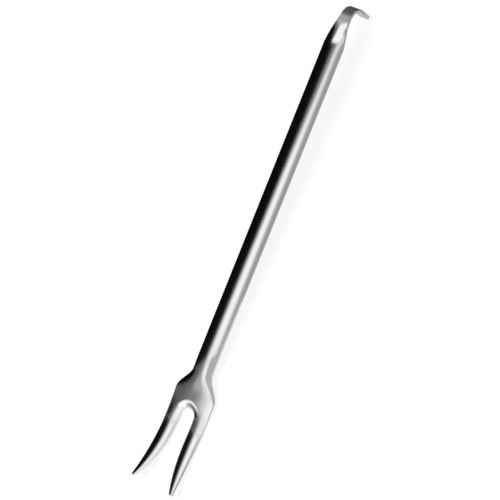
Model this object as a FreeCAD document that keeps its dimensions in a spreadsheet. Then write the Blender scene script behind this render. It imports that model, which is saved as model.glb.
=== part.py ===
import FreeCAD, Part
import Sketcher
import math
import os

# A two-tine meat and roasting fork of polished stainless steel, 380 mm long, with a channel
# handle and a hanging hook. Lengths are in millimetres.
#
# The fork is drawn along X, with the tine tips at X = 0 and the hook's bend at X = overall_length.
# Y runs across it and Z is up: the rounded front of the handle faces up. Heights are measured from
# the flat back of the head. At the end the whole fork is tipped so that it lies on a table, on
# the end of its hook and the back of its head.

SIZES = {
    # the whole fork
    "overall_length": 380.0,
    "sheet_gauge": 2.5,
    "edge_round": 0.6,
    # handle: an arched channel, open at the back
    "handle_width": 18.4,
    "handle_arch": 3.4,
    "crank": 2.7,
    "handle_end_from_bend": 42.0,
    # head: neck, shoulders and the yoke between the tines, as distances from the tips
    "neck_at": 92.0,
    "handle_start_at": 104.0,
    "shoulder_at": 73.0,
    "crank_end_at": 53.0,
    "tine_root_at": 50.0,
    "shoulder_width": 38.0,
    "yoke_width": 37.4,
    "shoulder_arch": 2.0,
    "gap_width": 13.0,
    "crotch_at": 62.0,
    # tines
    "tip_spread": 38.8,
    "tip_rise": 9.3,
    "tip_width": 2.6,
    "tip_thickness": 1.5,
    "tine_arch": 1.5,
    # hook
    "strip_width": 9.9,
    "strip_rise": 0.15,
    "strip_flat_from_bend": 12.0,
    "strip_taper_from_bend": 30.0,
    "bend_inner_radius": 4.5,
    "tongue_droop_angle": 8.5,
    "hook_depth": 24.6,
    "tongue_corner": 3.2,
}

# Shapes of the lofts, as pure numbers.
HEAD_STEPS = 15
STRIP_STEPS = 9
TINE_STEPS = 8
TINE_TAPER_POWER = 2.3
TINE_SPREAD_POWER = 2.5
TINE_RISE_POWER = 1.6
TINE_ARCH_SHARE = 0.3
HOLLOW_SHARE_OF_TINE = 0.4
TOLERANCE = 0.01
LEVELLING_PASSES = 6


class Size:
    """A length that carries both its value and the sheet expression that gives it."""

    def __init__(self, text, value):
        self.text = text
        self.value = value

    def __add__(self, other):
        return Size(f"({self.text} + {other.text})", self.value + other.value)

    def __sub__(self, other):
        return Size(f"({self.text} - {other.text})", self.value - other.value)

    def __mul__(self, share):
        return Size(f"({self.text} * {share:.6f})", self.value * share)


def size(name):
    """The size of that name on the sheet."""
    return Size(f"Sizes.{name}", SIZES[name])


def mix(first, last, share):
    """The size that lies a share of the way from the first to the last."""
    return first + (last - first) * share


def smooth(share):
    """A share that leaves 0 and reaches 1 without a kink."""
    share = min(max(share, 0.0), 1.0)
    return share * share * (3.0 - 2.0 * share)


def share_along(at, first, last):
    """How far a place has come from one place to another, from 0 to 1."""
    share = (at.value - first.value) / (last.value - first.value)
    return min(max(share, 0.0), 1.0)


def make_sheet(doc):
    """Writes the driving sizes to the document's sheet, one row for each."""
    sheet = doc.addObject("Spreadsheet::Sheet", "Sizes")
    for row, (name, value) in enumerate(SIZES.items(), start=1):
        sheet.set(f"A{row}", name)
        sheet.set(f"B{row}", str(value))
        sheet.setAlias(f"B{row}", name)
    doc.recompute()
    return sheet


def new_body(doc, name):
    """An empty body with the name of its sub-part."""
    body = doc.addObject("PartDesign::Body", name)
    body.Label = name
    return body


def new_sketch(body, name, role):
    """A sketch on one of the body's own origin planes."""
    sketch = body.newObject("Sketcher::SketchObject", name)
    plane = [item for item in body.Origin.OriginFeatures if item.Role == role][0]
    sketch.AttachmentSupport = [(plane, "")]
    sketch.MapMode = "FlatFace"
    return sketch


def fix_across(sketch, index, point, across, name):
    """Holds a point of the sketch at a signed distance from the vertical axis."""
    if across.value >= 0:
        row = sketch.addConstraint(Sketcher.Constraint("DistanceX", -1, 1, index, point, across.value))
        text = across.text
    else:
        row = sketch.addConstraint(Sketcher.Constraint("DistanceX", index, point, -1, 1, -across.value))
        text = f"-{across.text}"
    sketch.renameConstraint(row, name)
    sketch.setExpression(f"Constraints.{name}", text)


def fix_height(sketch, index, point, height, name):
    """Holds a point of the sketch at a height above the horizontal axis."""
    row = sketch.addConstraint(Sketcher.Constraint("DistanceY", -1, 1, index, point, height.value))
    sketch.renameConstraint(row, name)
    sketch.setExpression(f"Constraints.{name}", height.text)


def section(body, name, at, middle, half, edge, arch, gauge, hollow):
    """A cross-section of the sheet: an arched front, an arched back and two cut edges.

    at is its distance from the tips, middle and half its place and half width across, edge the
    height of its front corners, arch and hollow how far the front and the back rise between them.
    """
    sketch = new_sketch(body, name, "YZ_Plane")
    sketch.AttachmentOffset = FreeCAD.Placement(FreeCAD.Vector(0, 0, at.value), FreeCAD.Rotation())
    sketch.setExpression(".AttachmentOffset.Base.z", at.text)
    low = edge - gauge
    right = middle + half
    left = middle - half

    def spot(across, height):
        return FreeCAD.Vector(across.value, height.value, 0)

    def bow(height, rise, label):
        crown = height + rise
        if rise.value == 0:
            return sketch.addGeometry(Part.LineSegment(spot(right, height), spot(left, height)), False)
        arc = sketch.addGeometry(
            Part.Arc(spot(right, height), spot(middle, crown), spot(left, height)), False)
        top = sketch.addGeometry(Part.Point(spot(middle, crown)), True)
        sketch.addConstraint(Sketcher.Constraint("PointOnObject", top, 1, arc))
        if middle.value == 0:
            sketch.addConstraint(Sketcher.Constraint("PointOnObject", top, 1, -2))
        else:
            fix_across(sketch, top, 1, middle, f"{label}_middle")
        fix_height(sketch, top, 1, crown, f"{label}_crown")
        return arc

    front = bow(edge, arch, "front")
    back = bow(low, hollow, "back")
    right_cut = sketch.addGeometry(Part.LineSegment(spot(right, edge), spot(right, low)), False)
    left_cut = sketch.addGeometry(Part.LineSegment(spot(left, low), spot(left, edge)), False)
    for first, first_end, second, second_end in (
            (front, 1, right_cut, 1), (right_cut, 2, back, 1), (back, 2, left_cut, 1), (left_cut, 2, front, 2)):
        sketch.addConstraint(Sketcher.Constraint("Coincident", first, first_end, second, second_end))
    fix_across(sketch, right_cut, 1, right, "right_front")
    fix_across(sketch, right_cut, 2, right, "right_back")
    fix_across(sketch, left_cut, 1, left, "left_back")
    fix_across(sketch, left_cut, 2, left, "left_front")
    fix_height(sketch, right_cut, 1, edge, "right_edge")
    fix_height(sketch, right_cut, 2, low, "right_low")
    fix_height(sketch, left_cut, 1, low, "left_low")
    fix_height(sketch, left_cut, 2, edge, "left_edge")
    return sketch


def loft(body, name, sections):
    """Joins the sections into one smooth solid."""
    feature = body.newObject("PartDesign::AdditiveLoft", name)
    feature.Profile = sections[0]
    feature.Sections = sections[1:]
    return feature


def round_edges(body, name, radius, wanted):
    """Rounds the body's edges that wanted picks."""
    body.Document.recompute()
    base = body.Tip
    names = [f"Edge{row}" for row, edge in enumerate(base.Shape.Edges, start=1) if wanted(edge)]
    fillet = body.newObject("PartDesign::Fillet", name)
    fillet.Base = (base, names)
    fillet.setExpression("Radius", radius.text)
    body.Document.recompute()


def lies_across(edge):
    """Whether an edge lies in one plane square to the fork's length, as a joint's edges do."""
    return edge.BoundBox.XLength < TOLERANCE


def is_tongue_corner(edge, solid):
    """Whether an edge is one of the two short ones at the corners of the tongue's end."""
    box = edge.BoundBox
    return (box.YLength < TOLERANCE and edge.Length < SIZES["sheet_gauge"] + TOLERANCE
            and box.Center.z < solid.Shape.BoundBox.ZMin + SIZES["sheet_gauge"])


NOWHERE = size("overall_length") * 0


def handle_section(body, name, at):
    """The handle's arched channel section: its back is as hollow as its front is arched."""
    edge = size("sheet_gauge") + size("crank")
    return section(body, name, at, NOWHERE, size("handle_width") * 0.5, edge,
                   size("handle_arch"), size("sheet_gauge"), size("handle_arch"))


def handle_end_at():
    """Where the handle ends and the hook's strip begins."""
    return size("overall_length") - size("handle_end_from_bend")


def make_handle(doc):
    """The channel between the neck and the hook, with the same section all along."""
    body = new_body(doc, "handle")
    start = size("handle_start_at")
    profile = handle_section(body, "handle_profile", start)
    channel = body.newObject("PartDesign::Pad", "channel")
    channel.Profile = profile
    channel.setExpression("Length", (handle_end_at() - start).text)
    round_edges(body, "handle_edges", size("edge_round"), lambda edge: not lies_across(edge))
    return body


def make_head(doc):
    """The neck flattens and widens into two shoulders, and a U-shaped crotch parts the tine roots."""
    body = new_body(doc, "fork_head")
    gauge = size("sheet_gauge")
    neck_half = size("handle_width") * 0.5
    shoulder_half = size("shoulder_width") * 0.5
    yoke_half = size("yoke_width") * 0.5
    first = handle_section(body, "head_at_handle", size("handle_start_at"))
    sections = [first]
    for step in range(1, HEAD_STEPS + 1):
        at = mix(size("handle_start_at"), size("tine_root_at"), step / HEAD_STEPS)
        widening = smooth(share_along(at, size("neck_at"), size("shoulder_at")))
        sinking = smooth(share_along(at, size("handle_start_at"), size("crank_end_at")))
        thinning = smooth(share_along(at, size("shoulder_at"), size("tine_root_at")))
        half = mix(mix(neck_half, shoulder_half, widening), yoke_half, thinning)
        edge = gauge + size("crank") * (1.0 - sinking)
        arch = mix(size("handle_arch"), size("shoulder_arch"), sinking) * (1.0 - thinning)
        sections.append(section(body, f"head_{step}", at, NOWHERE, half, edge, arch, gauge, arch))
    loft(body, "head_sheet", sections)
    doc.recompute()
    cut_crotch(body)
    return body


def cut_crotch(body):
    """Cuts the round-ended slot between the tine roots through the head."""
    sketch = new_sketch(body, "crotch", "XY_Plane")
    half = size("gap_width") * 0.5
    centre = size("crotch_at") - half
    root = size("tine_root_at")
    beyond = root - half

    def spot(along, across):
        return FreeCAD.Vector(along.value, across, 0)

    circle = Part.Circle(spot(centre, 0), FreeCAD.Vector(0, 0, 1), half.value)
    bow = sketch.addGeometry(Part.ArcOfCircle(circle, -math.pi / 2, math.pi / 2), False)
    upper = sketch.addGeometry(Part.LineSegment(spot(centre, half.value), spot(beyond, half.value)), False)
    close = sketch.addGeometry(Part.LineSegment(spot(beyond, half.value), spot(beyond, -half.value)), False)
    lower = sketch.addGeometry(Part.LineSegment(spot(beyond, -half.value), spot(centre, -half.value)), False)
    sketch.addConstraint(Sketcher.Constraint("Tangent", bow, 2, upper, 1))
    sketch.addConstraint(Sketcher.Constraint("Tangent", bow, 1, lower, 2))
    sketch.addConstraint(Sketcher.Constraint("Coincident", upper, 2, close, 1))
    sketch.addConstraint(Sketcher.Constraint("Coincident", close, 2, lower, 1))
    sketch.addConstraint(Sketcher.Constraint("Horizontal", upper))
    sketch.addConstraint(Sketcher.Constraint("Horizontal", lower))
    sketch.addConstraint(Sketcher.Constraint("Vertical", close))
    sketch.addConstraint(Sketcher.Constraint("PointOnObject", bow, 3, -1))
    fix_across(sketch, bow, 3, centre, "bow_centre")
    fix_across(sketch, close, 1, beyond, "slot_end")
    row = sketch.addConstraint(Sketcher.Constraint("Radius", bow, half.value))
    sketch.renameConstraint(row, "bow_radius")
    sketch.setExpression("Constraints.bow_radius", half.text)
    slot = body.newObject("PartDesign::Pocket", "crotch_slot")
    slot.Profile = sketch
    slot.Type = "ThroughAll"
    slot.Midplane = True
    round_edges(body, "head_edges", size("edge_round"), lambda edge: not lies_across(edge))


def make_tine(doc, name, side):
    """One tapering tine, which spreads outward and curves forward to its blunt tip."""
    body = new_body(doc, name)
    gauge = size("sheet_gauge")
    root_half = (size("yoke_width") - size("gap_width")) * 0.25
    root_middle = (size("yoke_width") + size("gap_width")) * 0.25
    tip_half = size("tip_width") * 0.5
    tip_middle = size("tip_spread") * 0.5
    sections = []
    for step in range(TINE_STEPS + 1):
        share = step / TINE_STEPS
        at = size("tine_root_at") * (1.0 - share)
        half = mix(root_half, tip_half, share ** TINE_TAPER_POWER)
        middle = mix(root_middle, tip_middle, share ** TINE_SPREAD_POWER) * side
        thick = mix(gauge, size("tip_thickness"), share)
        edge = gauge + size("tip_rise") * share ** TINE_RISE_POWER
        narrowing = half.value / root_half.value
        arch = size("tine_arch") * (narrowing * smooth(share / TINE_ARCH_SHARE))
        hollow = arch * HOLLOW_SHARE_OF_TINE
        sections.append(section(body, f"{name}_{step}", at, middle, half, edge, arch, thick, hollow))
    loft(body, "tine_blank", sections)
    round_edges(body, "tine_edges", size("edge_round"),
                lambda edge: not lies_across(edge) or edge.BoundBox.XMax < TOLERANCE)
    return body


def bend_start_at():
    """Where the flat strip starts to bend back."""
    return size("overall_length") - size("bend_inner_radius") - size("sheet_gauge")


def make_hook(doc):
    """The handle narrows to a flat strip, which bends back and ends in a round-cornered tongue."""
    body = new_body(doc, "hanging_hook")
    gauge = size("sheet_gauge")
    top = gauge + size("crank")
    flat_edge = top + size("strip_rise")
    wide = size("handle_width") * 0.5
    narrow = size("strip_width") * 0.5
    flat_at = size("overall_length") - size("strip_flat_from_bend")
    taper_at = size("overall_length") - size("strip_taper_from_bend")
    sections = [handle_section(body, "hook_at_handle", handle_end_at())]
    for step in range(1, STRIP_STEPS + 1):
        share = step / STRIP_STEPS
        at = mix(handle_end_at(), bend_start_at(), share)
        flattening = smooth(share_along(at, handle_end_at(), flat_at))
        half = mix(wide, narrow, smooth(share_along(at, taper_at, bend_start_at())))
        edge = mix(top, flat_edge, flattening)
        arch = size("handle_arch") * (1.0 - flattening)
        sections.append(section(body, f"strip_{step}", at, NOWHERE, half, edge, arch, gauge, arch))
    loft(body, "strip", sections)
    doc.recompute()
    add_tongue(doc, body, flat_edge)
    return body


def add_tongue(doc, body, flat_edge):
    """The bend and the tongue: their side view, as thick as the sheet, and as wide as the strip."""
    gauge = size("sheet_gauge")
    inner = size("bend_inner_radius")
    outer = inner + gauge
    droop = math.radians(SIZES["tongue_droop_angle"])
    centre_x = bend_start_at()
    centre_z = flat_edge - outer
    straight = (SIZES["hook_depth"] - outer.value * (1.0 + math.sin(droop))) / math.cos(droop)
    away = FreeCAD.Vector(math.cos(droop), -math.sin(droop), 0)
    down = FreeCAD.Vector(-math.sin(droop), -math.cos(droop), 0)
    centre = FreeCAD.Vector(centre_x.value, centre_z.value, 0)
    sketch = new_sketch(body, "tongue_side", "XZ_Plane")
    up = FreeCAD.Vector(0, 0, 1)
    outer_bow = sketch.addGeometry(
        Part.ArcOfCircle(Part.Circle(centre, up, outer.value), -droop, math.pi / 2), False)
    inner_bow = sketch.addGeometry(
        Part.ArcOfCircle(Part.Circle(centre, up, inner.value), -droop, math.pi / 2), False)
    start = sketch.addGeometry(Part.LineSegment(
        centre + FreeCAD.Vector(0, outer.value, 0), centre + FreeCAD.Vector(0, inner.value, 0)), False)
    outer_line = sketch.addGeometry(Part.LineSegment(
        centre + away * outer.value, centre + away * outer.value + down * straight), False)
    inner_line = sketch.addGeometry(Part.LineSegment(
        centre + away * inner.value, centre + away * inner.value + down * straight), False)
    end = sketch.addGeometry(Part.LineSegment(
        centre + away * outer.value + down * straight, centre + away * inner.value + down * straight), False)
    sketch.addConstraint(Sketcher.Constraint("Coincident", outer_bow, 3, inner_bow, 3))
    sketch.addConstraint(Sketcher.Constraint("Coincident", outer_bow, 2, start, 1))
    sketch.addConstraint(Sketcher.Constraint("Coincident", inner_bow, 2, start, 2))
    sketch.addConstraint(Sketcher.Constraint("Tangent", outer_bow, 1, outer_line, 1))
    sketch.addConstraint(Sketcher.Constraint("Tangent", inner_bow, 1, inner_line, 1))
    sketch.addConstraint(Sketcher.Constraint("Coincident", outer_line, 2, end, 1))
    sketch.addConstraint(Sketcher.Constraint("Coincident", inner_line, 2, end, 2))
    sketch.addConstraint(Sketcher.Constraint("Perpendicular", end, outer_line))
    sketch.addConstraint(Sketcher.Constraint("Vertical", start))
    sketch.addConstraint(Sketcher.Constraint("Vertical", start, 1, outer_bow, 3))
    fix_across(sketch, start, 1, centre_x, "bend_start")
    fix_height(sketch, start, 1, flat_edge, "strip_top")
    for arc, radius, label in ((outer_bow, outer, "outer_radius"), (inner_bow, inner, "inner_radius")):
        row = sketch.addConstraint(Sketcher.Constraint("Radius", arc, radius.value))
        sketch.renameConstraint(row, label)
        sketch.setExpression(f"Constraints.{label}", radius.text)
    row = sketch.addConstraint(Sketcher.Constraint(
        "DistanceY", outer_line, 2, start, 1, SIZES["hook_depth"]))
    sketch.renameConstraint(row, "depth")
    sketch.setExpression("Constraints.depth", "Sizes.hook_depth")
    row = sketch.addConstraint(Sketcher.Constraint("Angle", outer_line, 2, -2, 1, droop))
    sketch.renameConstraint(row, "droop")
    tongue = body.newObject("PartDesign::Pad", "tongue")
    tongue.Profile = sketch
    tongue.Midplane = True
    tongue.setExpression("Length", "Sizes.strip_width")
    round_edges(body, "tongue_corners", size("tongue_corner"), lambda edge: is_tongue_corner(edge, body.Tip))
    round_edges(body, "hook_edges", size("edge_round"), lambda edge: not lies_across(edge))


def build():
    """Makes the document and returns its sub-parts."""
    doc = FreeCAD.newDocument("roasting_fork")
    make_sheet(doc)
    parts = [
        make_hook(doc),
        make_handle(doc),
        make_head(doc),
        make_tine(doc, "left_tine", 1),
        make_tine(doc, "right_tine", -1),
    ]
    doc.recompute()
    return doc, parts


def tight_box(part):
    """The smallest box around a sub-part."""
    return part.Shape.optimalBoundingBox(False)


def place(parts, shift, tip_angle):
    """Gives every sub-part the same place and tilt, so that their joints stay closed."""
    turn = FreeCAD.Rotation(FreeCAD.Vector(0, 1, 0), -tip_angle)
    for part in parts:
        part.Placement = FreeCAD.Placement(shift, turn)
    DOC.recompute()


def lay_down(parts):
    """Tips the fork until its tongue and its head both touch the table, and centres it over the origin."""
    hook = parts[0]
    tip_angle = 0.0
    for _ in range(LEVELLING_PASSES):
        place(parts, FreeCAD.Vector(0, 0, 0), tip_angle)
        head_low = min(tight_box(part).ZMin for part in parts[1:])
        tip_angle += math.degrees((head_low - tight_box(hook).ZMin) / SIZES["overall_length"])
    place(parts, FreeCAD.Vector(0, 0, 0), tip_angle)
    box = FreeCAD.BoundBox()
    for part in parts:
        box.add(tight_box(part))
    shift = FreeCAD.Vector(-box.Center.x, 0, -box.ZMin)
    place(parts, shift, tip_angle)
    print(f"tipped by {tip_angle:.4f} degrees, moved by {shift}")


def check(doc, parts):
    """Stops if any object of the document failed or any sub-part is not one valid solid."""
    for item in doc.Objects:
        if "Invalid" in item.State or "Error" in item.State:
            raise RuntimeError(f"{item.Label} failed: {item.State}")
    for part in parts:
        if part.Shape.isNull() or not part.Shape.isValid() or len(part.Shape.Solids) != 1:
            raise RuntimeError(f"{part.Label} is not one valid solid")


def write(parts):
    """Writes each sub-part's shape to a file of its own."""
    os.makedirs("parts", exist_ok=True)
    for part in parts:
        part.Shape.exportStep(f"parts/{part.Label}.step")
        box = tight_box(part)
        print(f"{part.Label}: {part.Shape.Volume:.1f} mm3, x {box.XMin:.2f} to {box.XMax:.2f},",
              f"y {box.YMin:.2f} to {box.YMax:.2f}, z {box.ZMin:.2f} to {box.ZMax:.2f}")


DOC, PARTS = build()
check(DOC, PARTS)
lay_down(PARTS)
check(DOC, PARTS)
write(PARTS)
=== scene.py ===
# %% [markdown]
# # A two-tine roasting fork of polished stainless steel
# The real fork is one strip of 2.5 mm stainless sheet. A press arches its handle into a shallow
# channel, narrows one end and bends it over as a hanging hook, and spreads the other end into a
# yoke with two crowned tines. Here each of its five parts gets a skin worked out as a numpy
# surface, and the skins meet so closely that the fork reads as one pressing.

import bmesh
import bpy
import numpy as np
from mathutils import Matrix, Vector


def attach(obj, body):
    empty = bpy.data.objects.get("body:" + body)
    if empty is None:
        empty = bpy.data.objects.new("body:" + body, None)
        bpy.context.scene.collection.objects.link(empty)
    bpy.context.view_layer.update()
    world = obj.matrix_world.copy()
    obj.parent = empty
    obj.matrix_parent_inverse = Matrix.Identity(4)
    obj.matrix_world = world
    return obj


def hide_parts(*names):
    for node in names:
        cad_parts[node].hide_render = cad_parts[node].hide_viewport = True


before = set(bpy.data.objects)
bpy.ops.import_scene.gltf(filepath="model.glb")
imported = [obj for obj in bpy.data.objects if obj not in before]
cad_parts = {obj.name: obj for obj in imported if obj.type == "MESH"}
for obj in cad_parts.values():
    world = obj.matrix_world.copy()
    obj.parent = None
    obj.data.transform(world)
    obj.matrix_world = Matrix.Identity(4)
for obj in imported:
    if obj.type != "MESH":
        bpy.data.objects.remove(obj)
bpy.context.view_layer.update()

# %% [markdown]
# ## The sizes of the fork
# All shapes are first worked out in the fork's own frame, in millimetres: x runs from the tines'
# tips at 0 to the hook at 380, y runs across, and z rises out of the rounded front. The fork is
# then laid on the table, where it rests on the hook's tongue and the back of its head.

# %% Sizes in millimetres
LENGTH = 380.0
GAUGE = 2.5
EDGE_ROUND = 0.6
HANDLE_HALF = 9.2
HANDLE_ARCH = 3.4
HANDLE_EDGE = 5.2
HANDLE_FROM = 104.0
HANDLE_TO = 338.0
NECK, SHOULDER, CRANK_END, ROOT = 92.0, 73.0, 53.0, 50.0
LYING_ANGLE = np.radians(3.3481)
LYING_SHIFT = np.array([-189.3978, 0.0, -2.8777])
MM = 0.001


def lay_on_table(points):
    """Turns points by the lying angle about the y axis, shifts them and turns them to metres."""
    x, y, z = np.moveaxis(np.asarray(points, float), -1, 0)
    c, s = np.cos(LYING_ANGLE), np.sin(LYING_ANGLE)
    turned = np.stack([x * c - z * s, y, x * s + z * c], axis=-1)
    return (turned + LYING_SHIFT) * MM


print("hook end lies at", lay_on_table([LENGTH, 0, 0]).round(4))

# %% [markdown]
# ## How a width or a height changes along the fork
# A press tool has no sudden steps: each size eases from one value to the next. The ease used
# here is the cubic 3t^2 - 2t^3, which starts and ends level.

# %% Eased changes
def share(x, first, last):
    """How far x has gone from first to last, as 0 to 1."""
    return np.clip((x - first) / (last - first), 0, 1)


def ease(t):
    """The cubic 3t^2 - 2t^3 on 0 to 1."""
    return t * t * (3 - 2 * t)


def mix(a, b, t):
    """The value a share t of the way from a to b."""
    return a + (b - a) * t


print("a quarter of the way eases to a share of", ease(0.25))

# %% [markdown]
# ## The head's width, edge and dome
# Seen from the front, the handle widens to the shoulders and then runs almost straight to the
# tines. Seen from the side, the press cranks the sheet down, so that the head lies lower than the
# handle, and its arch flattens to a shallow dome. Each of these is one eased change of x.

# %% Width, edge and dome
SHOULDER_HALF = 19.0
YOKE_HALF = 18.7
DOME = 2.6
DOME_FROM = NECK + 6
SLOPE_STEP = 0.05


def head_half(x):
    """Half the head's width: the handle's 9.2 at the neck eases to 19.0 at the shoulders and on to
    18.7 at the tines' roots."""
    spread = mix(HANDLE_HALF, SHOULDER_HALF, ease(share(x, NECK, SHOULDER)))
    return mix(spread, YOKE_HALF, ease(share(x, SHOULDER, ROOT)))


def head_half_slope(x):
    """How fast the half width changes along x, from two values close on either side."""
    return (head_half(x + SLOPE_STEP) - head_half(x - SLOPE_STEP)) / (2 * SLOPE_STEP)


def head_edge(x):
    """Height of the front edges: the crank takes it from the handle's 5.2 down to the gauge."""
    return GAUGE + (HANDLE_EDGE - GAUGE) * (1 - ease(share(x, HANDLE_FROM, CRANK_END)))


def head_arch(x):
    """Height of the arch over the head: the handle's 3.4 sinks to 2.6 as the shoulders widen."""
    return mix(HANDLE_ARCH, DOME, ease(share(x, DOME_FROM, SHOULDER)))


print("half width and edge at the shoulder:", head_half(SHOULDER), head_edge(SHOULDER).round(2))

# %% [markdown]
# ## A bow and a rolled rim
# Two shapes repeat all over the fork: the circular bow of an arched sheet, and the sheet's cut
# edge with both its corners tumbled round. Both are formulas, so that every section and every
# outline can use them.

# %% Bow and rim
FLAT = 1e-4  # a rise below this counts as flat, so that the radius stays finite


def bow_radius(half, rise):
    """Radius of the circle through both ends of a bow and its top: (half^2 + rise^2) / (2 rise)."""
    rise = np.maximum(rise, FLAT)
    return (half * half + rise * rise) / (2 * rise)


def bow(across, half, rise):
    """Height of a bow at a distance across from its middle: R cos - (R - rise)."""
    radius = bow_radius(half, rise)
    return np.sqrt(np.maximum(radius**2 - across**2, 0)) - radius + np.maximum(rise, FLAT)


def rim(front_slope, back_slope, gauge, front_round, back_round, steps=8):
    """Profile of a cut edge, from the front face round to the back, as (outward, up) from the
    sharp front corner. Each corner is an arc that is tangent to its face and to the upright cut:
    the front one turns from the face's slope to level, the back one on to the back's slope."""
    front_slope, back_slope, gauge, front_round, back_round = np.broadcast_arrays(
        front_slope, back_slope, gauge, front_round, back_round
    )
    t = np.linspace(0, 1, steps)
    turn = mix(front_slope[..., None], np.pi / 2, t)
    inset = (front_round * (1 - np.sin(front_slope)) / np.cos(front_slope))[..., None]
    r = front_round[..., None]
    top = np.stack([-r + r * np.sin(turn), -inset + r * np.cos(turn)], axis=-1)
    turn = mix(np.pi / 2, np.pi + back_slope[..., None], t)
    inset = (back_round * (1 + np.sin(back_slope)) / np.cos(back_slope))[..., None]
    r = back_round[..., None]
    low = np.stack([-r + r * np.sin(turn), -gauge[..., None] + inset + r * np.cos(turn)], axis=-1)
    return np.concatenate([top, low], axis=-2)


print("points in a rim profile:", rim(0.7, 0.7, GAUGE, EDGE_ROUND, EDGE_ROUND).shape[-2])

# %% [markdown]
# ## Sections as closed loops
# A handle, a strip or a tine is a section carried along a path. Each section is one closed loop:
# over the front, round one rim, back under and round the other rim.

# %% Section loops
CORNER_SHARE = 0.45  # a rim's corner takes at most this share of the thickness


def spread_out(first, last, count):
    """Values from first to last at the shares t / 2 + (1 - cos(pi t)) / 4, which lie closer
    together near both ends."""
    t = np.linspace(0, 1, count)
    return mix(first[..., None], last[..., None], 0.5 * t + 0.25 * (1 - np.cos(np.pi * t)))


def section_loops(half, edge, arch, gauge, hollow, front_round, back_round, across=49):
    """One closed loop of (across, up) for each station. The front is a bow of height arch, the
    back a bow of height hollow, one gauge lower at the edges, and a rim closes each side."""
    half, edge, arch, gauge, hollow, front_round, back_round = np.broadcast_arrays(
        *(np.asarray(v, float) for v in (half, edge, arch, gauge, hollow, front_round, back_round))
    )
    front_slope = np.arcsin(half / bow_radius(half, arch))
    back_slope = np.arcsin(half / bow_radius(half, hollow))
    profile = rim(front_slope, back_slope, gauge, front_round, back_round)
    side = profile + np.stack([half, edge], axis=-1)[..., None, :]
    front_end, back_end = side[..., 0, 0], side[..., -1, 0]
    y = spread_out(front_end, -front_end, across)[..., 1:-1]
    front = np.stack([y, edge[..., None] + bow(y, half[..., None], arch[..., None])], axis=-1)
    y = spread_out(-back_end, back_end, across)[..., 1:-1]
    under = (edge - gauge)[..., None] + bow(y, half[..., None], hollow[..., None])
    back = np.stack([y, under], axis=-1)
    other = side * np.array([-1.0, 1.0])
    return np.concatenate([front, other, back, side[..., ::-1, :]], axis=-2)


handle_section = (HANDLE_HALF, HANDLE_EDGE, HANDLE_ARCH, GAUGE, HANDLE_ARCH, EDGE_ROUND, EDGE_ROUND)
print("points in the handle's loop:", section_loops(*handle_section).shape[-2])

# %% [markdown]
# ## From grids to a piece
# A piece is made of grids of points. Each grid gives quads, flat lids close the cut ends, and
# the doubled points along seams are merged, so that every piece is one closed shell. Each point
# also keeps how far it is along and across the strip, which the finish later follows.

# %% Piece maker
SLOT = "polished_stainless_steel"
MERGE_DISTANCE = 2e-6
SHARP_ANGLE = np.radians(50)


def grid_faces(rows, columns, closed, start):
    """Quads between neighbouring rows and columns of a grid whose first point has index start.
    A closed grid also joins its last column to its first."""
    i = np.arange(rows - 1)[:, None]
    j = np.arange(columns if closed else columns - 1)[None, :]
    k = (j + 1) % columns
    quads = np.stack(np.broadcast_arrays(i * columns + j, i * columns + k,
                                         (i + 1) * columns + k, (i + 1) * columns + j), axis=-1)
    return (quads.reshape(-1, 4) + start).tolist()


def make_piece(name, node, grids, lids=()):
    """Builds one closed piece that stands for a node. Each grid is (points, along_across, closed)
    in the fork's frame, and each lid is a ring of points that a flat face fills."""
    points, follow, faces, count = [], [], [], 0
    for grid, guide, closed in grids:
        rows, columns = grid.shape[:2]
        faces += grid_faces(rows, columns, closed, count)
        points.append(grid.reshape(-1, 3))
        follow.append(guide.reshape(-1, 2))
        count += rows * columns
    for ring in lids:
        faces.append(list(range(count, count + len(ring))))
        points.append(ring)
        follow.append(ring[:, :2])
        count += len(ring)
    mesh = bpy.data.meshes.new(name)
    mesh.from_pydata(lay_on_table(np.concatenate(points)).tolist(), [], faces)
    guide = np.concatenate(follow) * MM
    layer = mesh.attributes.new("along_across", "FLOAT_VECTOR", "POINT")
    layer.data.foreach_set("vector", np.column_stack([guide, np.zeros(len(guide))]).ravel())
    shell = bmesh.new()
    shell.from_mesh(mesh)
    bmesh.ops.remove_doubles(shell, verts=shell.verts, dist=MERGE_DISTANCE)
    bmesh.ops.recalc_face_normals(shell, faces=shell.faces)
    open_edges = sum(not edge.is_manifold for edge in shell.edges)
    shell.to_mesh(mesh)
    shell.free()
    mesh.shade_smooth()
    mesh.set_sharp_from_angle(angle=SHARP_ANGLE)
    piece = bpy.data.objects.new(name, mesh)
    bpy.context.scene.collection.objects.link(piece)
    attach(piece, "root")
    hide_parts(node)
    print(name, "has", len(mesh.polygons), "faces and", open_edges, "open edges")
    return piece


print("points closer than", MERGE_DISTANCE, "m are merged")

# %% [markdown]
# ## The handle
# The handle is the plainest part: one arched section, 18.4 mm wide and crowned by 3.4 mm, pulled
# straight for 234 mm. Its rims are the sheet's own cut edges, tumbled until they feel smooth.

# %% Handle
HANDLE_STATIONS = 80


def carry(loops, stations):
    """Stands each loop upright at its station: x from the station, y and z from the loop."""
    x = np.broadcast_to(np.asarray(stations, float)[:, None], loops.shape[:2])
    points = np.concatenate([x[..., None], loops], axis=-1)
    return points, points[..., :2]


handle_at = np.linspace(HANDLE_FROM, HANDLE_TO, HANDLE_STATIONS)
handle_loops = section_loops(np.full(handle_at.size, HANDLE_HALF), *handle_section[1:])
handle_grid, handle_guide = carry(handle_loops, handle_at)
handle = make_piece("handle_channel", "handle", [(handle_grid, handle_guide, True)],
                    [handle_grid[0], handle_grid[-1]])

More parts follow.
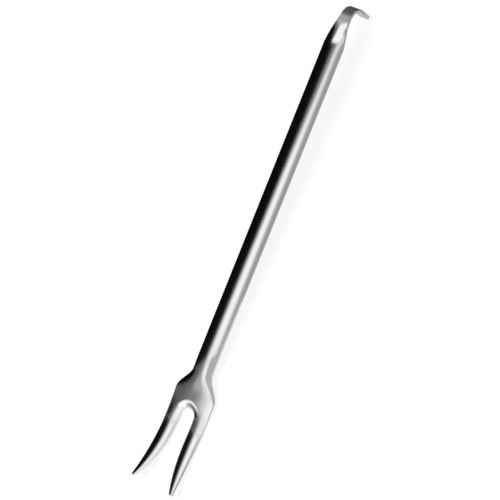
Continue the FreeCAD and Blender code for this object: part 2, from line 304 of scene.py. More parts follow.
# %% [markdown]
# ## The hook's path
# Past the handle the strip first slopes down a little, and then bends over by a little more than
# a right angle and runs on into a straight tongue. A bender leaves no sudden change of curve, so
# the strip's tilt is a sum of eased turns, and the path comes from adding up small steps in the
# direction of that tilt. The bend's length is solved so that the hook ends where the fork does.

# %% Path of the hook
CREST = HANDLE_EDGE + HANDLE_ARCH
SLOPE, SLOPE_RUN = np.radians(8.5), (344, 356)
FORE_BEND, FORE_BEND_RUN = np.radians(4.5), (361, 370)
DROOP = np.radians(8.5)
BEND_FROM = 370.0
BEND_POWER = 1.1
BEND_LENGTHS = range(12, 32)
TONGUE_END_HEIGHT = -19.2
FINE_END, FINE_STEPS = 420, 4000


def tilt(run, bend_from, bend_to):
    """How far the strip has turned from level at a run along it: a slight slope, a little more
    just before the bend, and then the bend, whose ease is raised to 1.1 to start it gently."""
    slope = SLOPE * ease(share(run, *SLOPE_RUN)) + FORE_BEND * ease(share(run, *FORE_BEND_RUN))
    bend = ease(share(run, bend_from, bend_to)) ** BEND_POWER
    return slope + (np.pi / 2 + DROOP - SLOPE - FORE_BEND) * bend


def follow_path(run, bend_from, bend_to):
    """Sums small steps of cos(tilt) along x and -sin(tilt) along z, by the trapezium rule."""
    turn = tilt(run, bend_from, bend_to)
    step = np.diff(run)[:, None]
    heading = np.stack([np.cos(turn), -np.sin(turn)], axis=-1)
    moves = np.concatenate([[[0, 0]], (heading[1:] + heading[:-1]) / 2 * step])
    return np.array([HANDLE_TO, CREST]) + np.cumsum(moves, axis=0)


fine_run = np.linspace(HANDLE_TO, FINE_END, FINE_STEPS)
reach = [follow_path(fine_run, BEND_FROM, BEND_FROM + length)[:, 0].max()
         for length in BEND_LENGTHS]
BEND_TO = BEND_FROM + float(np.interp(LENGTH, reach, BEND_LENGTHS))
fine_path = follow_path(fine_run, BEND_FROM, BEND_TO)
RUN_END = float(np.interp(-TONGUE_END_HEIGHT, -fine_path[:, 1], fine_run))
print("the bend takes", round(BEND_TO - BEND_FROM, 2), "mm and the tongue ends at",
      round(RUN_END, 2))

# %% [markdown]
# ## The hanging hook
# Along that path the press flattens the channel, and the strip narrows to 9.9 mm before the bend.
# The tongue ends with rounded corners and a rounded end edge, which a hand can't catch on. The
# same section loops as the handle's are carried along and leant over by the path's tilt.

# %% Hook
STRIP_HALF = 4.95
TAPER_X = (348, 371)
FLATTENING_RUN = (345, 368)
CORNER = 3.2
STRIP_STATIONS, BEND_STATIONS, TONGUE_STATIONS, CORNER_STATIONS = 40, 60, 12, 24


def corner_inset(to_end):
    """How far the side has drawn in at a distance to the end: the corner's quarter circle."""
    into = np.clip(CORNER - to_end, 0, CORNER)
    return CORNER - np.sqrt(CORNER**2 - into**2)


def tongue_thinning(to_end):
    """How much each face has fallen at a distance to the end: the end edge's own arc."""
    into = np.clip(EDGE_ROUND - to_end, 0, EDGE_ROUND)
    return EDGE_ROUND - np.sqrt(EDGE_ROUND**2 - into**2)


def lean(loops, turn, x, z):
    """Puts each loop at its point of the path, leant over by the tilt there: a height h above the
    crest moves a point by h sin(tilt) along x and h cos(tilt) along z."""
    height = loops[..., 1]
    return np.stack([x[:, None] + height * np.sin(turn)[:, None], loops[..., 0],
                     z[:, None] + height * np.cos(turn)[:, None]], axis=-1)


round_corner = RUN_END - CORNER * (1 - np.sin(np.linspace(0, np.pi / 2, CORNER_STATIONS)))
hook_run = np.concatenate([np.linspace(HANDLE_TO, BEND_FROM, STRIP_STATIONS)[:-1],
                           np.linspace(BEND_FROM, BEND_TO, BEND_STATIONS)[:-1],
                           np.linspace(BEND_TO, RUN_END - CORNER, TONGUE_STATIONS)[:-1],
                           round_corner])
hook_x = np.interp(hook_run, fine_run, fine_path[:, 0])
hook_z = np.interp(hook_run, fine_run, fine_path[:, 1])
to_end = RUN_END - hook_run
taper = share(hook_x, *TAPER_X)
hook_half = mix(HANDLE_HALF, STRIP_HALF, (taper + ease(taper)) / 2) - corner_inset(to_end)
hook_arch = HANDLE_ARCH * (1 - ease(share(hook_run, *FLATTENING_RUN)))
thinning = tongue_thinning(to_end)
hook_gauge = GAUGE - 2 * thinning
hook_round = np.minimum(EDGE_ROUND, hook_gauge * CORNER_SHARE)
hook_loops = section_loops(hook_half, -hook_arch - thinning, hook_arch, hook_gauge, hook_arch,
                           hook_round, hook_round)
hook_grid = lean(hook_loops, tilt(hook_run, BEND_FROM, BEND_TO), hook_x, hook_z)
hook_guide = np.stack([np.broadcast_to(hook_run[:, None], hook_loops.shape[:2]),
                       hook_loops[..., 0]], axis=-1)
hook = make_piece("hanging_hook_strip", "hanging_hook", [(hook_grid, hook_guide, True)],
                  [hook_grid[0], hook_grid[-1]])
print("hook reaches", hook_grid[..., 0].max().round(2), "and down to",
      hook_grid[..., 2].min().round(2))

# %% [markdown]
# ## The tines
# Each tine is a crowned blade: 12.2 mm wide at its root, it spreads outwards, curves up and
# narrows to a blunt nose. The sheet is coined here, so the front is well rounded and only the
# back keeps a slight hollow. One tine is made, and its mirror image is the other.

# %% Tine
GAP_HALF = 6.5
TINE_HALF = 6.1
CROWN = 1.9
HOLLOW_SHARE = 0.4
TINE_ROUND = 0.9
NOSE = 1.3
TIP_HALF = 1.55
TIP_MIDDLE = 19.4
TIP_GAUGE = 1.5
TIP_RISE = 9.3
SPREAD_POWER, TAPER_POWER, RISE_POWER = 2.5, 2.3, 1.6
TINE_STATIONS, NOSE_STATIONS = 90, 14


def tine_sizes(x):
    """Middle, half width, gauge and front edge height of the left tine. With s = 1 - x / 50 they
    follow s^2.5, s^2.3, s and s^1.6, as the photograph's outline does."""
    s = 1 - x / ROOT
    middle = mix(GAP_HALF + TINE_HALF, TIP_MIDDLE, s**SPREAD_POWER)
    half = mix(TINE_HALF, TIP_HALF, s**TAPER_POWER)
    return middle, half, mix(GAUGE, TIP_GAUGE, s), GAUGE + TIP_RISE * s**RISE_POWER


def crown_height(half):
    """The crown keeps its share of the width, so the tine's section keeps its look."""
    return CROWN * half / TINE_HALF


def tine_grid():
    """Loops from the root to the nose. Over the last 1.3 mm each loop shrinks about its middle by
    the quarter circle's sqrt(1 - t^2), which closes the nose at a point."""
    at_nose = NOSE * (1 - np.cos(np.linspace(0, np.pi / 2, NOSE_STATIONS)))[::-1]
    x = np.concatenate([np.linspace(ROOT, NOSE, TINE_STATIONS)[:-1], at_nose])
    middle, half, gauge, edge = tine_sizes(x)
    arch = crown_height(half)
    rounding = np.minimum(TINE_ROUND, gauge * CORNER_SHARE)
    loops = section_loops(half, 0.0, arch, gauge, HOLLOW_SHARE * arch, rounding, EDGE_ROUND)
    centre = np.stack([np.zeros(x.size), -gauge / 2], axis=-1)[:, None, :]
    shrink = np.sqrt(1 - (1 - np.clip(x / NOSE, 0, 1)) ** 2)[:, None, None]
    loops = centre + (loops - centre) * shrink
    loops = loops + np.stack([middle, edge], axis=-1)[:, None, :]
    return carry(loops, x)


def mirrored(points):
    """The same grid on the other side of the fork's middle plane."""
    return points * np.array([1.0, -1.0, 1.0])


left_grid, left_guide = tine_grid()
left_tine = make_piece("left_tine_blade", "left_tine", [(left_grid, left_guide, True)],
                       [left_grid[0]])
right_tine = make_piece("right_tine_blade", "right_tine", [(mirrored(left_grid), left_guide, True)],
                        [mirrored(left_grid[0])])

# %% [markdown]
# ## The head's faces
# The head joins the arched handle to the two tines. Its front is one height for each point of the
# plan: near the tines two crowns, one for each tine, and towards the handle one wide arch. Both
# roll down at the slot, as a press leaves them, so a bright lip runs round the crotch.

# %% Head surface
SLOT_CENTRE = 56.5
TINES_MERGE = (50.0, 68.0)


def slot_distance(x, y):
    """Distance from the slot's edge: y - 6.5 beside it, radius - 6.5 round its end."""
    beyond = np.maximum(x - SLOT_CENTRE, 0)
    return np.hypot(beyond, y) - GAP_HALF


def outer_distance(x, y):
    """Distance from the outer outline, measured square to it."""
    return (head_half(x) - y) / np.hypot(1, head_half_slope(x))


def roll(distance):
    """Share of the crown that is reached at a distance from an edge: the tine's own bow."""
    inward = np.clip(TINE_HALF - distance, 0, TINE_HALF)
    return bow(inward, TINE_HALF, CROWN) / CROWN


def body(x, y):
    """Rise of the pressed front above its edges: the two tines' crowns merge into one wide arch
    between 50 and 68, and both roll down by the crown's 1.9 at the slot."""
    merged = ease(share(x, *TINES_MERGE))
    crowns = CROWN * roll(outer_distance(x, y))
    arch = bow(y, head_half(x), head_arch(x)) - CROWN * (1 - roll(slot_distance(x, y)))
    return mix(crowns * roll(slot_distance(x, y)), arch, merged)


def head_front(x, y):
    """Height of the front: edge + body."""
    return head_edge(x) + body(x, y)


def head_back(x, y):
    """Height of the back: one gauge below the edge, hollowed by the whole body under the handle
    and by a part of it under the tines."""
    depth = mix(HOLLOW_SHARE, 1.0, ease(share(x, ROOT, SHOULDER)))
    return head_edge(x) - GAUGE + depth * body(x, y)


print("the slot ends at", SLOT_CENTRE + GAP_HALF, "and the front there is",
      head_front(SLOT_CENTRE + GAP_HALF, 0.0).round(2), "mm high")

# %% [markdown]
# ## The head's rims and spokes
# The slot between the tines ends in a half circle. Rows that run straight out from that half
# circle, like spokes, suit it best: they meet the crotch squarely, so the rolled lip round it
# stays even. A strip of rim runs along each side, and the spokes reach from one to the other.

# %% Head outline
SHOULDER_ROUND = 1.3
SPOKES_BESIDE, SPOKES_OUTLINE, SPOKES_NECK = 8, 70, 26
SPOKE_POINTS = 64


def outline():
    """Stations along the outer edge from the tine's root to the handle, with the direction that
    points out of the sheet there."""
    beside = np.linspace(ROOT, SLOT_CENTRE, SPOKES_BESIDE)[:-1]
    x = np.concatenate([beside, np.linspace(SLOT_CENTRE, HANDLE_FROM, SPOKES_OUTLINE)])
    slope = head_half_slope(x)
    outward = np.stack([-slope, np.ones(x.size)], axis=-1) / np.hypot(1, slope)[:, None]
    return np.stack([x, head_half(x)], axis=-1), outward


def slope_at(surface, point, inward):
    """How steeply a surface climbs from a point on the outline towards the inside, as an angle."""
    inside = point + SLOPE_STEP * inward
    rise = surface(inside[:, 0], np.abs(inside[:, 1])) - surface(point[:, 0], np.abs(point[:, 1]))
    return np.arctan(rise / SLOPE_STEP)


def rim_strip(point, outward, front_round):
    """A rim profile at each outline point: outwards along its direction and up from the front."""
    front_slope = slope_at(head_front, point, -outward)
    back_slope = slope_at(head_back, point, -outward)
    profile = rim(front_slope, back_slope, np.full(len(point), GAUGE), front_round, EDGE_ROUND)
    flat = point[:, None, :] + profile[..., :1] * outward[:, None, :]
    z = head_front(point[:, 0], np.abs(point[:, 1]))[:, None] + profile[..., 1]
    return np.concatenate([flat, z[..., None]], axis=-1)


outer_point, outer_outward = outline()
outer_round = mix(EDGE_ROUND, SHOULDER_ROUND, ease(share(outer_point[:, 0], HANDLE_FROM, SHOULDER)))
outer_round = mix(outer_round, TINE_ROUND, ease(share(outer_point[:, 0], SHOULDER, ROOT)))
outer_strip = rim_strip(outer_point, outer_outward, outer_round)


def slot_points(target):
    """Where the spoke to each target starts on the slot's edge, and which way is out of the sheet
    there: straight across beside the slot, and on the line from its centre round its end."""
    beyond = np.maximum(target[:, 0] - SLOT_CENTRE, 0)
    radius = np.hypot(beyond, target[:, 1])
    unit = np.stack([beyond, target[:, 1]], axis=-1) / radius[:, None]
    start = np.minimum(target[:, 0], SLOT_CENTRE)[:, None] * np.array([1.0, 0.0])
    return start + GAP_HALF * unit, -unit


def with_neck(points):
    """Adds the points of the handle's end section, from its rim to the middle, to a rim's line."""
    across = np.linspace(1, 0, SPOKES_NECK)[1:]
    neck = np.stack([np.full(across.size, HANDLE_FROM), points[-1, 1] * across], axis=-1)
    return np.concatenate([points[:, :2], neck])


slot_strip = rim_strip(*slot_points(with_neck(outer_strip[:, 0])), TINE_ROUND)


def spokes(surface, column):
    """A grid whose rows run from the slot's rim to the outer rim, and past the handle's corner to
    the handle's end section, at the heights of the surface. Its sides are the rims' own points."""
    starts, ends = slot_strip[:, column, :2], with_neck(outer_strip[:, column])
    t = spread_out(np.zeros(len(ends)), np.ones(len(ends)), SPOKE_POINTS)[..., None]
    flat = starts[:, None, :] * (1 - t) + ends[:, None, :] * t
    grid = np.concatenate([flat, surface(flat[..., 0], flat[..., 1])[..., None]], axis=-1)
    grid[:, 0] = slot_strip[:, column]
    grid[: len(outer_strip), -1] = outer_strip[:, column]
    return grid


front_grid = spokes(head_front, 0)
back_grid = spokes(head_back, -1)
print("spokes:", len(front_grid), "of", front_grid.shape[1], "points")

# %% [markdown]
# ## The head
# The two faces and the two rims make one half, and their mirror images the other. Flat lids close
# the places where the head meets the tines and the handle. On the head, along and across are
# simply x and y, so the polishing lines run on from the handle.

# %% Head
corner = len(outer_strip) - 1
root_lid = np.concatenate([front_grid[0], outer_strip[0], back_grid[0][::-1], slot_strip[0][::-1]])
neck_lid = np.concatenate([front_grid[corner:, -1][::-1], outer_strip[-1], back_grid[corner:, -1]])
left_grids = [front_grid, back_grid, outer_strip, slot_strip]
head_grids = left_grids + [mirrored(grid) for grid in left_grids]
head = make_piece(
    "fork_head_yoke", "fork_head",
    [(grid, grid[..., :2], False) for grid in head_grids],
    [root_lid, neck_lid, mirrored(root_lid), mirrored(neck_lid)],
)

# %% [markdown]
# ## The camera
# The photograph was taken with a long lens from the fork's right side, a little above its
# middle. The numbers come from fitting a perspective camera to the fork's outline: how far the
# camera is turned about the fork's long axis, how far it leans along it, and how it is rolled.

# %% Camera
TARGET = np.array([190.0, 0.0, HANDLE_EDGE])
DISTANCE = 1592.4
AROUND = np.radians(35.592)
LEAN = np.radians(-4.410)
ROLL = np.radians(21.876)
SENSOR = 36.0
IMAGE_SIDE = 500
FOCAL_PIXELS = 2180.0
CENTRE_OFF = np.array([252.13, 247.65]) - IMAGE_SIDE / 2
CLIP_START = 0.05
towards = np.array([-np.sin(LEAN), -np.sin(AROUND) * np.cos(LEAN), np.cos(AROUND) * np.cos(LEAN)])
up = np.array([1.0, 0.0, 0.0]) - towards[0] * towards
up /= np.linalg.norm(up)
right = np.cross(up, towards)
image_right = right * np.cos(ROLL) + up * np.sin(ROLL)
image_up = up * np.cos(ROLL) - right * np.sin(ROLL)
per_pixel = DISTANCE / FOCAL_PIXELS
eye = TARGET + DISTANCE * towards - CENTRE_OFF[0] * per_pixel * image_right
eye = eye + CENTRE_OFF[1] * per_pixel * image_up


def turn_to_table(direction):
    """A direction in the fork's frame, turned as the fork is turned on the table."""
    return (lay_on_table(direction) - lay_on_table(np.zeros(3))) / MM


lens = bpy.data.cameras.new("photo_camera")
lens.sensor_width = SENSOR
lens.lens = SENSOR * FOCAL_PIXELS / IMAGE_SIDE
lens.clip_start = CLIP_START
camera = bpy.data.objects.new("photo_camera", lens)
axes = np.column_stack([turn_to_table(axis) for axis in (image_right, image_up, towards)])
camera.matrix_world = Matrix.LocRotScale(Vector(lay_on_table(eye)),
                                         Matrix(axes.tolist()).to_quaternion(), None)
bpy.context.scene.collection.objects.link(camera)
bpy.context.scene.camera = camera
print("camera at", lay_on_table(eye).round(3), "lens", round(lens.lens, 1), "mm")

# %% [markdown]
# ## Colours and nodes
# Colours are written as the hex codes that a screen shows. Blender wants linear light, so one
# function turns them. Another adds a node with its settings and links, which is all that every
# material below needs.

# %% Colours and nodes
def to_linear(value):
    """sRGB values from 0 to 1 as linear light: v / 12.92 up to 0.04045, and above it
    ((v + 0.055) / 1.055) to the power 2.4."""
    return np.where(value <= 0.04045, value / 12.92, ((value + 0.055) / 1.055) ** 2.4)


def linear(code):
    """An sRGB hex colour as linear RGBA."""
    parts = np.array([int(code[i : i + 2], 16) / 255 for i in (0, 2, 4)])
    return (*to_linear(parts).tolist(), 1.0)


def add_node(tree, kind, inputs=None, **settings):
    """Adds a node, sets its properties, and sets or links its inputs by name or number."""
    node = tree.nodes.new(kind)
    for name, value in settings.items():
        setattr(node, name, value)
    for name, value in (inputs or {}).items():
        if isinstance(value, bpy.types.NodeSocket):
            tree.links.new(value, node.inputs[name])
        else:
            node.inputs[name].default_value = value
    return node


def new_material(name):
    """An empty material with only its output node."""
    material = bpy.data.materials.new(name)
    material.use_nodes = True
    material.node_tree.nodes.clear()
    return material, material.node_tree, add_node(material.node_tree, "ShaderNodeOutputMaterial")


print("middle grey 808080 as linear light:", round(linear("808080")[0], 3))

# %% [markdown]
# ## Polished stainless steel
# Forks like this are 18/10 stainless sheet, ground and then polished lengthwise on felt wheels.
# The eye gets a clear, slightly soft mirror with very fine lines along the strip, a few hairline
# scratches from use and a faint cloudiness. The real lines are some hundredths of a millimetre
# apart. They are drawn a quarter of a millimetre apart here, as fine as still shows.

# %% Steel
STEEL_HEX = "D2D2D2"
LINE_SPACING, LINE_LENGTH = 0.25 * MM, 30 * MM
SCRATCH_WIDTH, SCRATCH_LENGTH = 0.15 * MM, 9 * MM
SCRATCH_TURN = np.radians(14)
SCRATCH_GRAIN = (0.70, 0.76)
CLOUD_SIZE = 11 * MM
LINE_GRAIN = (0.3, 0.7)
LINE_ROUGHNESS = (0.09, 0.14)
CLOUD_ROUGHNESS = 0.04
SCRATCH_ROUGHNESS = 0.10
SCRATCH_DEPTH = 0.6
BUMP_STRENGTH, BUMP_DISTANCE = 0.05, 0.05 * MM


def stretched_noise(tree, guide, length, width, turn, detail):
    """Noise whose grains are so long and so wide, in metres, turned from the strip's length."""
    placed = add_node(tree, "ShaderNodeMapping", {
        "Vector": guide, "Rotation": (0, 0, turn), "Scale": (1 / length, 1 / width, 1.0)})
    return add_node(tree, "ShaderNodeTexNoise", {
        "Vector": placed.outputs["Vector"], "Scale": 1.0, "Detail": detail}).outputs["Fac"]


def polished_steel():
    """Roughness and bump follow the along_across attribute: fine lines from the felt wheel along
    the strip, a few hairline scratches a little askew, and soft clouds of wear."""
    material, tree, output = new_material(SLOT)
    guide = add_node(tree, "ShaderNodeAttribute", attribute_name="along_across").outputs["Vector"]
    lines = stretched_noise(tree, guide, LINE_LENGTH, LINE_SPACING, 0.0, 3.0)
    grain = stretched_noise(tree, guide, SCRATCH_LENGTH, SCRATCH_WIDTH, SCRATCH_TURN, 0.0)
    clouds = stretched_noise(tree, guide, CLOUD_SIZE, CLOUD_SIZE, 0.0, 2.0)
    scratches = add_node(tree, "ShaderNodeMapRange", {
        "Value": grain, "From Min": SCRATCH_GRAIN[0], "From Max": SCRATCH_GRAIN[1],
        "To Min": 0.0, "To Max": 1.0}).outputs["Result"]
    rough = add_node(tree, "ShaderNodeMapRange", {
        "Value": lines, "From Min": LINE_GRAIN[0], "From Max": LINE_GRAIN[1],
        "To Min": LINE_ROUGHNESS[0], "To Max": LINE_ROUGHNESS[1]}).outputs["Result"]
    for wear, amount in ((clouds, CLOUD_ROUGHNESS), (scratches, SCRATCH_ROUGHNESS)):
        rough = add_node(tree, "ShaderNodeMath", {0: wear, 1: amount, 2: rough},
                         operation="MULTIPLY_ADD").outputs[0]
    height = add_node(tree, "ShaderNodeMath", {0: scratches, 1: -SCRATCH_DEPTH, 2: lines},
                      operation="MULTIPLY_ADD").outputs[0]
    bump = add_node(tree, "ShaderNodeBump", {
        "Height": height, "Strength": BUMP_STRENGTH, "Distance": BUMP_DISTANCE})
    shader = add_node(tree, "ShaderNodeBsdfPrincipled", {
        "Base Color": linear(STEEL_HEX), "Metallic": 1.0, "Roughness": rough,
        "Normal": bump.outputs["Normal"]})
    tree.links.new(shader.outputs["BSDF"], output.inputs["Surface"])
    return material


steel = polished_steel()
for piece in (handle, hook, left_tine, right_tine, head):
    piece.data.materials.clear()
    piece.data.materials.append(steel)
print("steel reflects", round(linear(STEEL_HEX)[0], 2), "of the light, with lines",
      round(LINE_SPACING / MM, 2), "mm apart")

# %% [markdown]
# ## The light tent
# Polished metal has no look of its own: it shows what stands round about it. The photograph looks
# as if it was taken in a light tent, with a soft white box overhead, a black flag to the left and
# grey cloth elsewhere. So a tube of cloth is put round the fork, and each point of its wall gives
# off the light that the steel should show there. Where the panels hang and how grey they are was
# fitted to the photograph's reflections, so they suit that one view best. The wall is seen only
# in reflections, so it neither lights the floor nor hides the fork.

# %% Tent
TENT_RADIUS = 0.7
TENT_HALF_LENGTH = 2.0
TENT_FINE_HALF = 0.9
AXIS_HEIGHT = 0.012
FLAG_GREY = 9.0
FLAG_EDGE, FLAG_SLANT, FLAG_SLANT_X = 16, 50, (-0.3, 0.15)
FLAG_SOFTNESS, FLAG_SOFTNESS_X = (21.0, 27.0), (0.0, 0.08)
BOX_EDGE = (-36, -10)
BOX_GREYS, BOX_FADE_X = (244.0, 226.0), (0.0, 0.12)
CLOTH_GREY = 148.0
PAST_FLAG = (8, 110, 10, -0.42, -0.24, 0.012)
PAST_FLAG_UPPER, PAST_FLAG_UPPER_ANGLES = (210.0, 118.0), (12, 34)
PAST_FLAG_LOWER, PAST_FLAG_LOWER_ANGLES = (60.0, 95.0), (38, 58)
PAST_FLAG_LOWER_X = (-0.24, -0.32)
TENT_TURN_STEP, TENT_FINE_STEP, TENT_COARSE_STATIONS = 1.5, 0.01, 30
TENT_END_POWER, TENT_END_RADIUS = 8, 1e-3

# Each panel: from angle, to angle, soft edge, from x, to x, soft edge, grey from 0 to 255.
LEFT_CLOTH = (-120, -42, 10, -3.0, -0.15, 0.08, 203)
PANELS = [
    (-60, 13, 8, -0.285, -0.225, 0.04, 214),
    (-90, 12, 8, -3.0, -0.285, 0.04, 242),
    (8, 46, 8, -3.0, -0.40, 0.05, 215),
    (8, 50, 8, -3.0, -0.50, 0.06, 252),
    (49, 86, 6, -0.60, -0.37, 0.05, 18),
    (49, 86, 8, -0.85, -0.58, 0.12, 115),
    (49, 86, 8, -3.0, -0.85, 0.20, 175),
    (84, 130, 14, -3.0, -0.44, 0.10, 215),
    (4, 18, 8, 0.06, 0.26, 0.10, 110),
    (-4, 40, 10, 0.23, 3.0, 0.05, 250),
    (38, 50, 6, 0.26, 3.0, 0.06, 105),
    (-30, 130, 8, 0.39, 3.0, 0.03, 160),
    (-30, 130, 8, 0.50, 3.0, 0.12, 112),
    (-30, 130, 8, 0.60, 3.0, 0.20, 84),
]


def soft_window(value, low, high, soft):
    """1 between low and high and 0 outside, with eased edges of a width."""
    return ease(share(value, low - soft / 2, low + soft / 2)) * (
        1 - ease(share(value, high - soft / 2, high + soft / 2)))


def with_panel(grey, angle, x, panel):
    """The wall's grey with one panel laid over it, eased in along its four edges."""
    angle_from, angle_to, angle_soft, x_from, x_to, x_soft, level = panel
    shape = soft_window(angle, angle_from, angle_to, angle_soft)
    return mix(grey, level, shape * soft_window(x, x_from, x_to, x_soft))


def tent_grey(angle, x):
    """Brightness of the tent's wall, as the steel should show it, from 0 to 255, by the angle
    about the fork's axis and the place along it: grey cloth, a soft white box overhead, a black
    flag to its left, paler cloth past the flag's end, and panels round about."""
    grey = with_panel(np.full(angle.shape, CLOTH_GREY), angle, x, LEFT_CLOTH)
    box_grey = mix(*BOX_GREYS, ease(share(x, *BOX_FADE_X)))
    grey = mix(grey, box_grey, ease(share(angle, *BOX_EDGE)))
    edge = FLAG_EDGE - FLAG_SLANT * np.clip(x, *FLAG_SLANT_X)
    width = mix(*FLAG_SOFTNESS, share(x, *FLAG_SOFTNESS_X))
    grey = mix(grey, FLAG_GREY, ease(share(angle, edge - width, edge + width)))
    upper = mix(*PAST_FLAG_UPPER, ease(share(angle, *PAST_FLAG_UPPER_ANGLES)))
    lower = mix(*PAST_FLAG_LOWER, share(x, *PAST_FLAG_LOWER_X))
    cloth = mix(upper, lower, ease(share(angle, *PAST_FLAG_LOWER_ANGLES)))
    grey = with_panel(grey, angle, x, (*PAST_FLAG, cloth))
    for panel in PANELS:
        grey = with_panel(grey, angle, x, panel)
    return grey


def shown_in_steel(value):
    """Light that a surface has to give off for the steel to show an sRGB value of it: the value
    as linear light over the steel's reflectance."""
    return to_linear(value) / linear(STEEL_HEX)[1]


def reflection_only(name, mesh, strength):
    """Puts a mesh in the scene that gives off light of a strength, a number or the name of an
    attribute, and is seen in reflections alone."""
    lit = bpy.data.objects.new(name, mesh)
    bpy.context.scene.collection.objects.link(lit)
    lit.visible_camera = lit.visible_diffuse = lit.visible_shadow = False
    material, tree, output = new_material(name)
    if isinstance(strength, str):
        strength = add_node(tree, "ShaderNodeAttribute", attribute_name=strength).outputs["Fac"]
    cloth = add_node(tree, "ShaderNodeEmission", {"Strength": strength})
    tree.links.new(cloth.outputs[0], output.inputs["Surface"])
    mesh.materials.append(material)
    return lit


def make_tent():
    """A tube about the fork's axis, closed at its ends by radius * (1 - (x / half)^8)^(1/2)."""
    turn_steps = np.radians(np.arange(-180, 181, TENT_TURN_STEP))
    fine, end = TENT_FINE_HALF, TENT_HALF_LENGTH
    x = np.concatenate([np.linspace(-end, -fine, TENT_COARSE_STATIONS)[:-1],
                        np.arange(-fine, fine, TENT_FINE_STEP),
                        np.linspace(fine, end, TENT_COARSE_STATIONS)])
    along, turn = np.meshgrid(x, turn_steps, indexing="ij")
    open_share = np.sqrt(np.maximum(1 - (along / end) ** TENT_END_POWER, 0))
    radius = TENT_RADIUS * open_share + TENT_END_RADIUS
    points = np.stack([along, radius * np.sin(turn), AXIS_HEIGHT + radius * np.cos(turn)], axis=-1)
    mesh = bpy.data.meshes.new("light_tent")
    mesh.from_pydata(points.reshape(-1, 3).tolist(), [], grid_faces(*along.shape, False, 0))
    light = shown_in_steel(tent_grey(np.degrees(turn), along) / 255)
    mesh.attributes.new("light", "FLOAT", "POINT").data.foreach_set("value", light.ravel())
    mesh.shade_smooth()
    return reflection_only("light_tent", mesh, "light")


tent = make_tent()
print("the tent's wall has", len(tent.data.polygons), "faces")

# %% [markdown]
# ## The floor
# The fork lies on white paper that runs out of the picture. To the camera the paper is mostly a
# white of its own, so that it stays white right to the edges, and for the rest plain paper, which
# keeps the fork's soft shadow.

# %% Floor
FLOOR_SIDE = 6.0
FLOOR_HEIGHT = -0.0002
FLOOR_WHITE_SHARE = 0.86
PAPER_HEX = "F2F2F2"


def four_corners(name, corners):
    """A flat sheet, as a mesh of one face, from its four corners in metres."""
    mesh = bpy.data.meshes.new(name)
    mesh.from_pydata(corners, [], [(0, 1, 2, 3)])
    return mesh


def level_corners(x_low, x_high, y_low, y_high, height):
    """The corners of a level sheet that faces up."""
    return [(x_low, y_low, height), (x_high, y_low, height), (x_high, y_high, height),
            (x_low, y_high, height)]


def white_where_seen(tree, white_share):
    """1 for camera, glossy and transmission rays times a share, and 0 for others."""
    path = add_node(tree, "ShaderNodeLightPath")
    seen = path.outputs["Is Camera Ray"]
    for ray in ("Is Glossy Ray", "Is Transmission Ray"):
        seen = add_node(tree, "ShaderNodeMath", {0: seen, 1: path.outputs[ray]},
                        operation="MAXIMUM").outputs[0]
    return add_node(tree, "ShaderNodeMath", {0: seen, 1: white_share},
                    operation="MULTIPLY").outputs[0]


half_side = FLOOR_SIDE / 2
floor_corners = level_corners(-half_side, half_side, -half_side, half_side, FLOOR_HEIGHT)
floor = bpy.data.objects.new("studio_floor", four_corners("studio_floor", floor_corners))
bpy.context.scene.collection.objects.link(floor)
material, tree, output = new_material("white_paper")
paper = add_node(tree, "ShaderNodeBsdfDiffuse", {"Color": linear(PAPER_HEX)})
glow = add_node(tree, "ShaderNodeEmission", {"Color": (1, 1, 1, 1), "Strength": 1.0})
both = add_node(tree, "ShaderNodeMixShader", {0: white_where_seen(tree, FLOOR_WHITE_SHARE),
                                             1: paper.outputs[0], 2: glow.outputs[0]})
tree.links.new(both.outputs[0], output.inputs["Surface"])
floor.data.materials.append(material)
print("the floor is", FLOOR_SIDE, "m square")

# %% [markdown]
# ## Cards beside the fork
# The sides of the handle and of the tines look down at the table, so what lies there close to the
# steel shows in them: a black card to the left, and grey ones to the right and underneath. One
# more card stands beside the shoulder. Like the tent, they are seen only in reflections: each card
# is a painted reflection, a flat sheet that gives off its own grey for the steel to mirror.

# %% Cards
CARD_HEIGHT = 1e-4
CARD_REACH = 0.7
HEAD_FROM, HEAD_TO, HOOK_FROM, CARDS_END = -0.34, -0.10, 0.195, 1.9
BESIDE_HEAD, BESIDE_HANDLE = 0.0215, 0.011
SHOULDER_CARD_X = (-0.128, -0.094)
SHOULDER_CARD_YZ = ((-0.055, 0.048), (-0.010, 0.067))
# Each card: name, x from, x to, y from, y to, and the grey of its painted reflection in the steel.
FLOOR_CARDS = [
    ("black_flag_head", HEAD_FROM, HEAD_TO, BESIDE_HEAD, CARD_REACH, "080808"),
    ("black_flag_handle", HEAD_TO, HOOK_FROM, BESIDE_HANDLE, CARD_REACH, "080808"),
    ("grey_card_head", HEAD_FROM, HEAD_TO, -CARD_REACH, -BESIDE_HEAD, "A5A5A5"),
    ("grey_card_handle", -0.04, HOOK_FROM, -CARD_REACH, -BESIDE_HANDLE, "A5A5A5"),
    ("grey_card_under", 0.0, HOOK_FROM, -BESIDE_HANDLE, BESIDE_HANDLE, "ACACAC"),
    ("dark_card_hook", HOOK_FROM, CARDS_END, -CARD_REACH, CARD_REACH, "4A4A4A"),
]


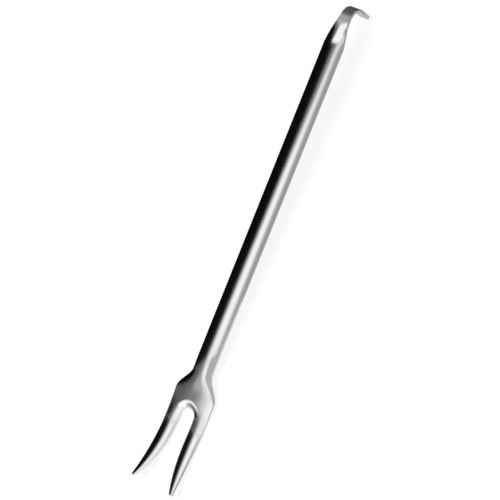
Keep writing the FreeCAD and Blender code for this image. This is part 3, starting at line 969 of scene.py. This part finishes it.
def card(name, corners, grey):
    """A card of a grey that shows only in reflections: a painted reflection on the steel."""
    value = int(grey[:2], 16) / 255
    return reflection_only(name, four_corners(name, corners), float(shown_in_steel(value)))


for name, x_low, x_high, y_low, y_high, grey in FLOOR_CARDS:
    card(name, level_corners(x_low, x_high, y_low, y_high, CARD_HEIGHT), grey)
# The standing card beside the shoulder paints a grey reflection on the steel there.
(x_low, x_high), (outer, inner) = SHOULDER_CARD_X, SHOULDER_CARD_YZ
card("grey_card_shoulder", [(x_low, *outer), (x_high, *outer), (x_high, *inner), (x_low, *inner)],
     "ACACAC")
print(len(FLOOR_CARDS) + 1, "cards stand and lie round the fork")

# %% [markdown]
# ## Lamp and surroundings
# One broad lamp overhead lights the floor and gives the fork's soft shadow. The steel doesn't
# mirror it, since the tent's white box takes its place there. The surroundings are white to the
# camera and light the floor a little less.

# %% Lamp
LAMP_SIZE = 0.9
LAMP_WATTS = 14
LAMP_AT = (0.1, 0.25, 1.3)
lamp_data = bpy.data.lights.new("overhead_lamp", "AREA")
lamp_data.shape = "DISK"
lamp_data.size = LAMP_SIZE
lamp_data.energy = LAMP_WATTS
lamp = bpy.data.objects.new("overhead_lamp", lamp_data)
lamp.location = LAMP_AT
lamp.rotation_euler = (Vector((0, 0, 0)) - lamp.location).to_track_quat("-Z", "Y").to_euler()
lamp.visible_glossy = False
bpy.context.scene.collection.objects.link(lamp)
print("the lamp hangs", LAMP_AT[2], "m above the floor")

# %% Surroundings
SURROUNDINGS_LIGHT = 0.7
world = bpy.data.worlds.new("studio")
bpy.context.scene.world = world
world.use_nodes = True
tree = world.node_tree
tree.nodes.clear()
sky = add_node(tree, "ShaderNodeBackground", {"Color": (1, 1, 1, 1)})
strength = add_node(tree, "ShaderNodeMapRange", {
    "Value": white_where_seen(tree, 1.0), "To Min": SURROUNDINGS_LIGHT, "To Max": 1.0})
tree.links.new(strength.outputs["Result"], sky.inputs["Strength"])
end = add_node(tree, "ShaderNodeOutputWorld")
tree.links.new(sky.outputs[0], end.inputs["Surface"])
bpy.context.scene.view_settings.view_transform = "Standard"
print("the surroundings light the floor at", SURROUNDINGS_LIGHT)
